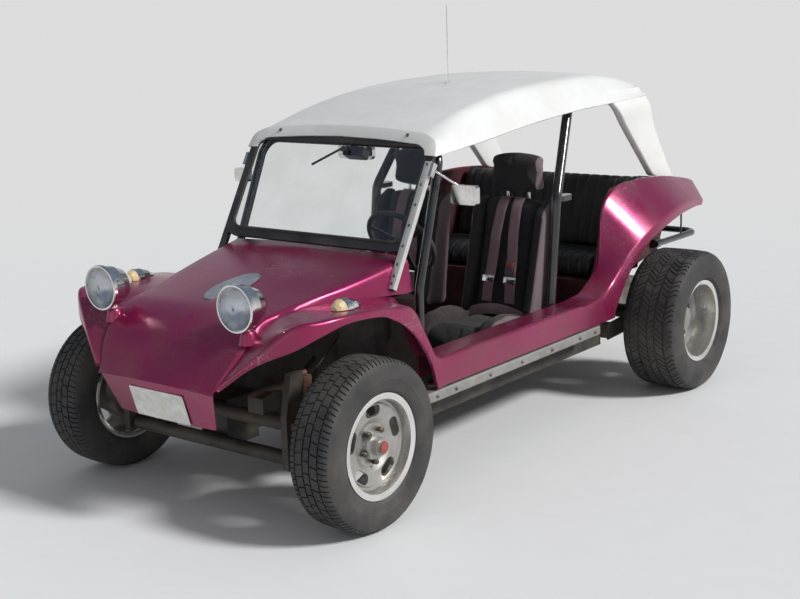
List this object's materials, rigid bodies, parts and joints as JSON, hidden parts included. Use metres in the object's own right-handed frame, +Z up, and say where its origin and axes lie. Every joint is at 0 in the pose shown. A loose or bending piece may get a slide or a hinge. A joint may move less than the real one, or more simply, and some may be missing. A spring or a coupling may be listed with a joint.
{
  "type": "dune buggy",
  "caption": "Fibreglass dune buggy with open sides, hardtop, flat windscreen, bucket seats, rear bench, bullet headlamps and an open rear engine.",
  "frame": {"origin": "on the ground, under the middle of the car's length and width", "axes": "+Z up, nose towards -Y, the car's left towards +X"},
  "size_m": [1.913, 3.454, 1.949],
  "materials": {
    "body_paint": "metallic raspberry gelcoat, scratched and dusty",
    "pan_paint": "satin black, dusty",
    "tub_paint": "satin black",
    "roof_white": "white gelcoat",
    "frame_black": "satin black",
    "tube_black": "gloss black",
    "screen_glass": "clear",
    "lens_glass": "clear, fluted",
    "seat_cloth": "black cloth with mauve-grey bolsters",
    "bench_vinyl": "black pleated vinyl",
    "strap_web": "mauve-grey webbing",
    "chrome": "polished, a little pitted",
    "signal_amber": "cream-amber",
    "tail_red": "red",
    "plate_white": "white, blank",
    "rail_alloy": "dull",
    "axle_black": "worn black",
    "shock_red": "reddish brown",
    "forged_steel": "bare, dusty",
    "link_steel": "dull",
    "wheel_rubber": "black grip",
    "tyre": "worn, dusty",
    "rim_alloy": "cast and polished",
    "case_alloy": "cast, oily",
    "shroud_black": "satin black",
    "exhaust_steel": "heat-stained"
  },
  "bodies": {
    "body": {"floor_pan": "pan_paint", "frame_head": "pan_paint", "hood": "body_paint", "front_fenders": "body_paint", "nose_panel": "body_paint", "sides": "body_paint", "cowl": "tub_paint", "rear_tub": "body_paint", "windscreen_frame": "frame_black", "windscreen_glass": "screen_glass", "hardtop": "roof_white", "hoops": "tube_black", "seats": "seat_cloth", "harness": "strap_web", "rear_bench": "bench_vinyl", "lamp_housings": "chrome", "headlamp_lenses": "lens_glass", "signal_lenses": "signal_amber", "tail_lamps": "tail_red", "hood_oval": "chrome", "number_plate": "plate_white", "mirrors": "chrome", "wiper": "frame_black", "antenna": "chrome", "side_rails": "rail_alloy", "front_beam": "axle_black", "shocks": "shock_red", "steering_column": "axle_black", "rear_axle": "axle_black", "engine": "case_alloy", "fan_shroud": "shroud_black", "exhaust": "exhaust_steel", "rear_bar": "tube_black", "controls": "link_steel"},
    "knuckle_left": {"knuckle_left": "forged_steel"},
    "knuckle_right": {"knuckle_right": "forged_steel"},
    "wheel_front_left": {"tyre_front_left": "tyre", "rim_front_left": "rim_alloy"},
    "wheel_front_right": {"tyre_front_right": "tyre", "rim_front_right": "rim_alloy"},
    "wheel_rear_left": {"tyre_rear_left": "tyre", "rim_rear_left": "rim_alloy"},
    "wheel_rear_right": {"tyre_rear_right": "tyre", "rim_rear_right": "rim_alloy"},
    "tie_rod_left": {"tie_rod_left": "link_steel"},
    "tie_rod_right": {"tie_rod_right": "link_steel"},
    "pitman_link": {"pitman_link": "link_steel"},
    "steering_wheel": {"steering_wheel": "wheel_rubber"}
  },
  "joints": [
    {"name": "steer_left", "type": "hinge", "parent": "body", "child": "knuckle_left", "pos_m": [0.575, -1.31275, 0.335], "axis": [0, 0, 1], "range_deg": [-26, 26]},
    {"name": "steer_right", "type": "hinge", "parent": "body", "child": "knuckle_right", "pos_m": [-0.575, -1.31275, 0.335], "axis": [0, 0, 1], "range_deg": [-26, 26]},
    {"name": "rod_left_pin", "type": "hinge", "parent": "knuckle_left", "child": "tie_rod_left", "pos_m": [0.575, -1.18275, 0.367], "axis": [0, 0, 1], "range_deg": [-26, 26]},
    {"name": "rod_right_pin", "type": "hinge", "parent": "knuckle_right", "child": "tie_rod_right", "pos_m": [-0.575, -1.18275, 0.382], "axis": [0, 0, 1], "range_deg": [-26, 26]},
    {"name": "pitman_turn", "type": "hinge", "parent": "body", "child": "pitman_link", "pos_m": [0.3, -1.31275, 0.4], "axis": [0, 0, 1], "range_deg": [-26, 26]},
    {"name": "steering_wheel_turn", "type": "hinge", "parent": "body", "child": "steering_wheel", "pos_m": [0.3, -0.54075, 0.957], "axis": [0, 0.8297, 0.5582], "range_deg": [-370, 370]},
    {"name": "spin_front_left", "type": "hinge", "parent": "knuckle_left", "child": "wheel_front_left", "pos_m": [0.698, -1.31275, 0.335], "axis": [1, 0, 0], "continuous": true},
    {"name": "spin_front_right", "type": "hinge", "parent": "knuckle_right", "child": "wheel_front_right", "pos_m": [-0.698, -1.31275, 0.335], "axis": [1, 0, 0], "continuous": true},
    {"name": "spin_rear_left", "type": "hinge", "parent": "body", "child": "wheel_rear_left", "pos_m": [0.808, 1.08725, 0.354], "axis": [1, 0, 0], "continuous": true},
    {"name": "spin_rear_right", "type": "hinge", "parent": "body", "child": "wheel_rear_right", "pos_m": [-0.808, 1.08725, 0.354], "axis": [1, 0, 0], "continuous": true}
  ],
  "couplings": [
    {"joint": "steer_right", "follows": "steer_left", "ratio": 1},
    {"joint": "rod_left_pin", "follows": "steer_left", "ratio": -1},
    {"joint": "rod_right_pin", "follows": "steer_left", "ratio": -1},
    {"joint": "pitman_turn", "follows": "steer_left", "ratio": 1},
    {"joint": "steering_wheel_turn", "follows": "steer_left", "ratio": 14}
  ]
}
